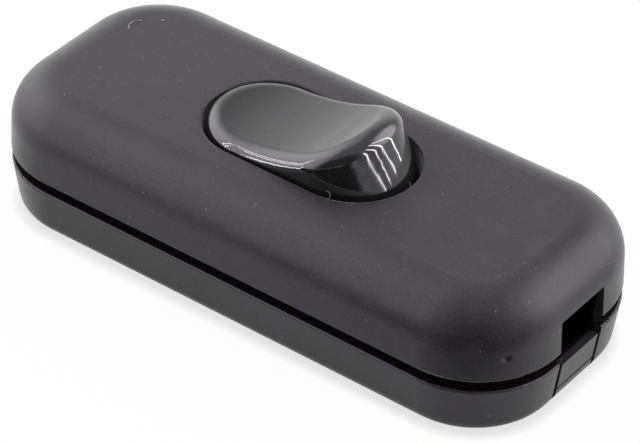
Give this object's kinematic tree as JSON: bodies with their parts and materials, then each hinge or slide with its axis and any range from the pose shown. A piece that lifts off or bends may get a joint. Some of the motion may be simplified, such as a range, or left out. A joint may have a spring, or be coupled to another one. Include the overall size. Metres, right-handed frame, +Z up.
{
  "type": "inline cord switch",
  "caption": "Oblong black plastic inline cord switch with a glossy saddle-shaped rocker, a shadow seam round the housing and a cord entry at each end.",
  "frame": {"origin": "middle of the plan, on the underside that the switch rests on", "axes": "+X along the cord, towards the end that the rocker raises; +Y to the back; +Z up"},
  "size_m": [0.082, 0.0348, 0.0255],
  "materials": {
    "housing_black": "satin black moulded plastic with a fine grain",
    "rocker_black": "high-gloss black moulded plastic",
    "clamp_plastic": "plain off-white moulded plastic",
    "brass": "stamped brass",
    "silver": "silver-alloy contact face",
    "zinc_steel": "zinc-plated steel",
    "spring_steel": "spring steel wire"
  },
  "bodies": {
    "housing": {"base": "housing_black", "cover": "housing_black", "cord_clamp_right": "clamp_plastic", "cord_clamp_left": "clamp_plastic", "terminal_screws": "zinc_steel", "clamp_screws": "zinc_steel", "housing_screws": "zinc_steel", "fixed_contact_front": "silver", "fulcrum_strip_front": "brass", "contact_strip_front": "brass", "load_terminal_front": "brass", "feed_terminal_front": "brass", "fixed_contact_back": "silver", "fulcrum_strip_back": "brass", "contact_strip_back": "brass", "load_terminal_back": "brass", "feed_terminal_back": "brass"},
    "rocker": {"rocker": "rocker_black", "plunger_spring_front": "spring_steel", "plunger_spring_back": "spring_steel"},
    "plunger_front": {"plunger_front": "clamp_plastic"},
    "lever_front": {"contact_lever_front": "brass", "lever_contact_front": "silver"},
    "plunger_back": {"plunger_back": "clamp_plastic"},
    "lever_back": {"contact_lever_back": "brass", "lever_contact_back": "silver"}
  },
  "joints": [
    {"name": "rocker_tilt", "type": "hinge", "parent": "housing", "child": "rocker", "pos_m": [0, 0, 0.0151], "axis": [0, 1, 0], "range_deg": [0, 26]},
    {"name": "plunger_front_slide", "type": "slide", "parent": "rocker", "child": "plunger_front", "axis": [-0.225, 0, 0.9744], "range_m": [0, 0.0008], "stiffness_N_per_m": 300, "springref_m": -0.002, "deforming": ["plunger_spring_front"]},
    {"name": "lever_front_tilt", "type": "hinge", "parent": "housing", "child": "lever_front", "pos_m": [0, -0.0046, 0.0072], "axis": [0, 1, 0], "range_deg": [-8.01, 0]},
    {"name": "plunger_back_slide", "type": "slide", "parent": "rocker", "child": "plunger_back", "axis": [-0.225, 0, 0.9744], "range_m": [0, 0.0008], "stiffness_N_per_m": 300, "springref_m": -0.002, "deforming": ["plunger_spring_back"]},
    {"name": "lever_back_tilt", "type": "hinge", "parent": "housing", "child": "lever_back", "pos_m": [0, 0.0046, 0.0072], "axis": [0, 1, 0], "range_deg": [-8.01, 0]}
  ],
  "couplings": [
    {"joint": "lever_front_tilt", "follows": "rocker_tilt", "ratio": -0.30769},
    {"joint": "lever_back_tilt", "follows": "rocker_tilt", "ratio": -0.30769}
  ]
}
